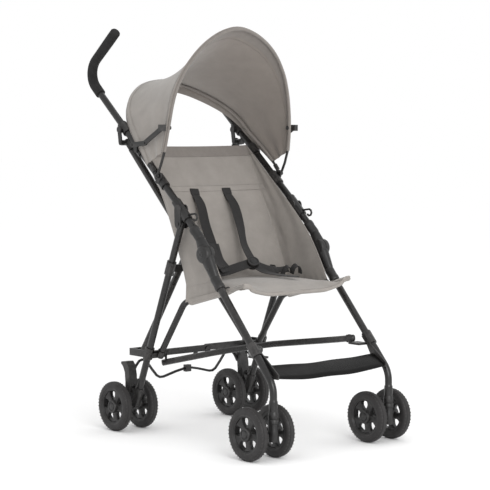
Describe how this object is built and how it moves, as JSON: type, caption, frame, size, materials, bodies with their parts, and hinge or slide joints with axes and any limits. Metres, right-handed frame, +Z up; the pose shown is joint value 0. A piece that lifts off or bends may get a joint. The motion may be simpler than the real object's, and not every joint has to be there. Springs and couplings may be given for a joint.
{
  "type": "pushchair",
  "caption": "Folding umbrella pushchair with a tubular frame, a sling seat, a sun canopy, paired castors and a foot brake",
  "frame": {"origin": "on the floor under the middle of the whole pushchair, opened for use", "axes": "+Z up, the pushchair faces -Y, +X is the left-hand side of the child"},
  "size_m": [0.493, 0.7619, 1.0326],
  "materials": {
    "frame_steel": "satin powder coat, near black",
    "moulded": "fine matt texture",
    "foam": "dull foam skin",
    "wheel": "matt",
    "cloth": "plain woven polyester, warm grey",
    "webbing": "ribbed webbing, black",
    "footrest_strap": "smooth coated strap"
  },
  "bodies": {
    "right_frame": {"right_push_tube": "frame_steel", "right_handle_grip": "foam", "right_knee": "moulded", "right_front_leg": "frame_steel", "right_front_bracket": "moulded", "right_leg_bracket": "moulded", "right_upper_bracket": "moulded", "right_canopy_pivot": "moulded", "right_stay_clamp": "moulded", "canopy_rear_bow": "moulded", "seat_cloth": "cloth", "footrest": "footrest_strap", "harness": "webbing"},
    "left_frame": {"left_push_tube": "frame_steel", "left_handle_grip": "foam", "left_knee": "moulded", "left_front_leg": "frame_steel", "left_front_bracket": "moulded", "left_leg_bracket": "moulded", "left_upper_bracket": "moulded", "left_canopy_pivot": "moulded", "left_stay_clamp": "moulded"},
    "right_leg": {"right_rear_leg": "frame_steel", "right_leg_sleeve": "moulded", "right_lower_bracket": "moulded", "right_seat_rail": "frame_steel", "right_rear_foot": "moulded"},
    "right_brace_socket": {"right_brace_socket": "moulded"},
    "right_brace_tube": {"right_brace_tube": "frame_steel"},
    "right_lock_bar": {"right_lock_bar": "moulded"},
    "right_floor_tube": {"right_floor_tube": "frame_steel"},
    "right_brake_pedal": {"right_brake_pedal": "moulded"},
    "right_brake_rod": {"right_brake_rod": "frame_steel"},
    "right_stay_back": {"right_stay_back": "moulded"},
    "right_stay_front": {"right_stay_front": "moulded"},
    "right_caster_fork": {"right_caster_fork": "moulded"},
    "right_front_outer_wheel": {"right_front_outer_wheel": "wheel"},
    "right_front_inner_wheel": {"right_front_inner_wheel": "wheel"},
    "right_rear_outer_wheel": {"right_rear_outer_wheel": "wheel"},
    "right_rear_inner_wheel": {"right_rear_inner_wheel": "wheel"},
    "left_leg": {"left_rear_leg": "frame_steel", "left_leg_sleeve": "moulded", "left_lower_bracket": "moulded", "left_seat_rail": "frame_steel", "left_rear_foot": "moulded"},
    "left_brace_socket": {"left_brace_socket": "moulded"},
    "left_brace_tube": {"left_brace_tube": "frame_steel"},
    "left_lock_bar": {"left_lock_bar": "moulded"},
    "left_floor_tube": {"left_floor_tube": "frame_steel"},
    "left_brake_pedal": {"left_brake_pedal": "moulded"},
    "left_brake_rod": {"left_brake_rod": "frame_steel"},
    "left_stay_back": {"left_stay_back": "moulded"},
    "left_stay_front": {"left_stay_front": "moulded"},
    "left_caster_fork": {"left_caster_fork": "moulded"},
    "left_front_outer_wheel": {"left_front_outer_wheel": "wheel"},
    "left_front_inner_wheel": {"left_front_inner_wheel": "wheel"},
    "left_rear_outer_wheel": {"left_rear_outer_wheel": "wheel"},
    "left_rear_inner_wheel": {"left_rear_inner_wheel": "wheel"},
    "canopy": {"canopy_front_bow": "moulded", "canopy_cloth": "cloth"}
  },
  "joints": [
    {"name": "side_close", "type": "slide", "parent": "right_frame", "child": "left_frame", "axis": [-1, 0, 0], "range_m": [0, 0.225], "deforming": ["seat_cloth", "canopy_cloth", "canopy_front_bow", "canopy_rear_bow", "footrest", "harness"]},
    {"name": "right_leg_swing", "type": "hinge", "parent": "right_frame", "child": "right_leg", "pos_m": [-0.188, -0.0094, 0.54], "axis": [-1, 0, 0], "range_deg": [0, 28.91]},
    {"name": "right_brace_pitch", "type": "hinge", "parent": "right_frame", "child": "right_brace_socket", "pos_m": [-0.188, 0.2231, 0.738], "axis": [-1, 0, 0], "range_deg": [0, 17.31]},
    {"name": "left_leg_swing", "type": "hinge", "parent": "left_frame", "child": "left_leg", "pos_m": [0.188, -0.0094, 0.54], "axis": [-1, 0, 0], "range_deg": [0, 28.91]},
    {"name": "left_brace_pitch", "type": "hinge", "parent": "left_frame", "child": "left_brace_socket", "pos_m": [0.188, 0.2231, 0.738], "axis": [-1, 0, 0], "range_deg": [0, 17.31]},
    {"name": "right_brace_swing", "type": "hinge", "parent": "right_brace_socket", "child": "right_brace_tube", "pos_m": [-0.188, 0.2231, 0.738], "axis": [0, 0.9948, -0.1017], "range_deg": [0, 20.71]},
    {"name": "brace_cross", "type": "hinge", "parent": "right_brace_tube", "child": "left_brace_tube", "pos_m": [0, 0.19426, 0.45587], "axis": [0, 0.9948, -0.1017], "range_deg": [-41.42, 0]},
    {"name": "right_lock_fold", "type": "hinge", "parent": "right_leg", "child": "right_lock_bar", "pos_m": [-0.146, 0.12751, 0.205], "axis": [0, -0.9257, -0.3783], "range_deg": [0, 76.74]},
    {"name": "right_floor_fold", "type": "hinge", "parent": "right_leg", "child": "right_floor_tube", "pos_m": [-0.143, 0.1191, 0.179], "axis": [-0.7659, -0.6244, -0.1536], "range_deg": [0, 53.54]},
    {"name": "left_lock_fold", "type": "hinge", "parent": "left_leg", "child": "left_lock_bar", "pos_m": [0.146, 0.12751, 0.205], "axis": [0, 0.9257, 0.3783], "range_deg": [0, 76.74]},
    {"name": "left_floor_fold", "type": "hinge", "parent": "left_leg", "child": "left_floor_tube", "pos_m": [0.143, 0.1191, 0.179], "axis": [-0.7668, 0.6234, 0.1531], "range_deg": [0, 52.99]},
    {"name": "right_brake_press", "type": "hinge", "parent": "right_leg", "child": "right_brake_pedal", "pos_m": [-0.188, 0.2021, 0.104], "axis": [-1, 0, 0], "range_deg": [0, 25]},
    {"name": "left_brake_press", "type": "hinge", "parent": "left_leg", "child": "left_brake_pedal", "pos_m": [0.188, 0.2021, 0.104], "axis": [-1, 0, 0], "range_deg": [0, 25.01]},
    {"name": "right_rod_fold", "type": "hinge", "parent": "right_brake_pedal", "child": "right_brake_rod", "pos_m": [-0.14, 0.2075, 0.176], "axis": [0, -1, 0], "range_deg": [0, 92.31]},
    {"name": "left_rod_fold", "type": "hinge", "parent": "left_brake_pedal", "child": "left_brake_rod", "pos_m": [0.14, 0.2167, 0.176], "axis": [0, 1, 0], "range_deg": [0, 92.31]},
    {"name": "canopy_fold", "type": "hinge", "parent": "right_frame", "child": "canopy", "pos_m": [0, 0.0671, 0.657], "axis": [-1, 0, 0], "range_deg": [0, 50], "deforming": ["canopy_cloth"]},
    {"name": "right_stay_turn", "type": "hinge", "parent": "right_frame", "child": "right_stay_back", "pos_m": [-0.188, 0.1601, 0.733], "axis": [1, 0, 0], "range_deg": [0, 73.75]},
    {"name": "right_stay_bend", "type": "hinge", "parent": "right_stay_back", "child": "right_stay_front", "pos_m": [-0.188, 0.1031, 0.738], "axis": [1, 0, 0], "range_deg": [-132.86, 0]},
    {"name": "left_stay_turn", "type": "hinge", "parent": "left_frame", "child": "left_stay_back", "pos_m": [0.188, 0.1601, 0.733], "axis": [1, 0, 0], "range_deg": [0, 73.75]},
    {"name": "left_stay_bend", "type": "hinge", "parent": "left_stay_back", "child": "left_stay_front", "pos_m": [0.188, 0.1031, 0.738], "axis": [1, 0, 0], "range_deg": [-132.86, 0]},
    {"name": "right_caster_swivel", "type": "hinge", "parent": "right_frame", "child": "right_caster_fork", "pos_m": [-0.188, -0.3549, 0.0995], "axis": [0, 0, 1], "continuous": true},
    {"name": "right_front_outer_spin", "type": "hinge", "parent": "right_caster_fork", "child": "right_front_outer_wheel", "pos_m": [-0.2335, -0.3179, 0.0635], "axis": [1, 0, 0], "continuous": true},
    {"name": "right_front_inner_spin", "type": "hinge", "parent": "right_caster_fork", "child": "right_front_inner_wheel", "pos_m": [-0.1515, -0.3179, 0.0635], "axis": [1, 0, 0], "continuous": true},
    {"name": "right_rear_outer_spin", "type": "hinge", "parent": "right_leg", "child": "right_rear_outer_wheel", "pos_m": [-0.23, 0.2151, 0.0635], "axis": [1, 0, 0], "continuous": true},
    {"name": "right_rear_inner_spin", "type": "hinge", "parent": "right_leg", "child": "right_rear_inner_wheel", "pos_m": [-0.148, 0.2151, 0.0635], "axis": [1, 0, 0], "continuous": true},
    {"name": "left_caster_swivel", "type": "hinge", "parent": "left_frame", "child": "left_caster_fork", "pos_m": [0.188, -0.3549, 0.0995], "axis": [0, 0, 1], "continuous": true},
    {"name": "left_front_outer_spin", "type": "hinge", "parent": "left_caster_fork", "child": "left_front_outer_wheel", "pos_m": [0.2335, -0.3179, 0.0635], "axis": [1, 0, 0], "continuous": true},
    {"name": "left_front_inner_spin", "type": "hinge", "parent": "left_caster_fork", "child": "left_front_inner_wheel", "pos_m": [0.1515, -0.3179, 0.0635], "axis": [1, 0, 0], "continuous": true},
    {"name": "left_rear_outer_spin", "type": "hinge", "parent": "left_leg", "child": "left_rear_outer_wheel", "pos_m": [0.23, 0.2151, 0.0635], "axis": [1, 0, 0], "continuous": true},
    {"name": "left_rear_inner_spin", "type": "hinge", "parent": "left_leg", "child": "left_rear_inner_wheel", "pos_m": [0.148, 0.2151, 0.0635], "axis": [1, 0, 0], "continuous": true}
  ],
  "couplings": [
    {"joint": "right_leg_swing", "follows": "side_close", "rad_per_m": 2.242},
    {"joint": "right_brace_pitch", "follows": "side_close", "rad_per_m": 1.342},
    {"joint": "left_leg_swing", "follows": "side_close", "rad_per_m": 2.242},
    {"joint": "left_brace_pitch", "follows": "side_close", "rad_per_m": 1.342},
    {"joint": "right_brace_swing", "follows": "side_close", "rad_per_m": 1.606},
    {"joint": "brace_cross", "follows": "side_close", "rad_per_m": -3.212},
    {"joint": "right_lock_fold", "follows": "side_close", "rad_per_m": 5.952},
    {"joint": "right_floor_fold", "follows": "side_close", "rad_per_m": 4.1521},
    {"joint": "left_lock_fold", "follows": "side_close", "rad_per_m": 5.952},
    {"joint": "left_floor_fold", "follows": "side_close", "rad_per_m": 4.1099},
    {"joint": "left_brake_press", "follows": "right_brake_press", "ratio": 1},
    {"joint": "right_rod_fold", "follows": "side_close", "rad_per_m": 7.16},
    {"joint": "left_rod_fold", "follows": "side_close", "rad_per_m": 7.16},
    {"joint": "right_stay_turn", "follows": "canopy_fold", "ratio": 1.4748},
    {"joint": "right_stay_bend", "follows": "canopy_fold", "ratio": -2.657},
    {"joint": "left_stay_turn", "follows": "canopy_fold", "ratio": 1.4748},
    {"joint": "left_stay_bend", "follows": "canopy_fold", "ratio": -2.657}
  ]
}
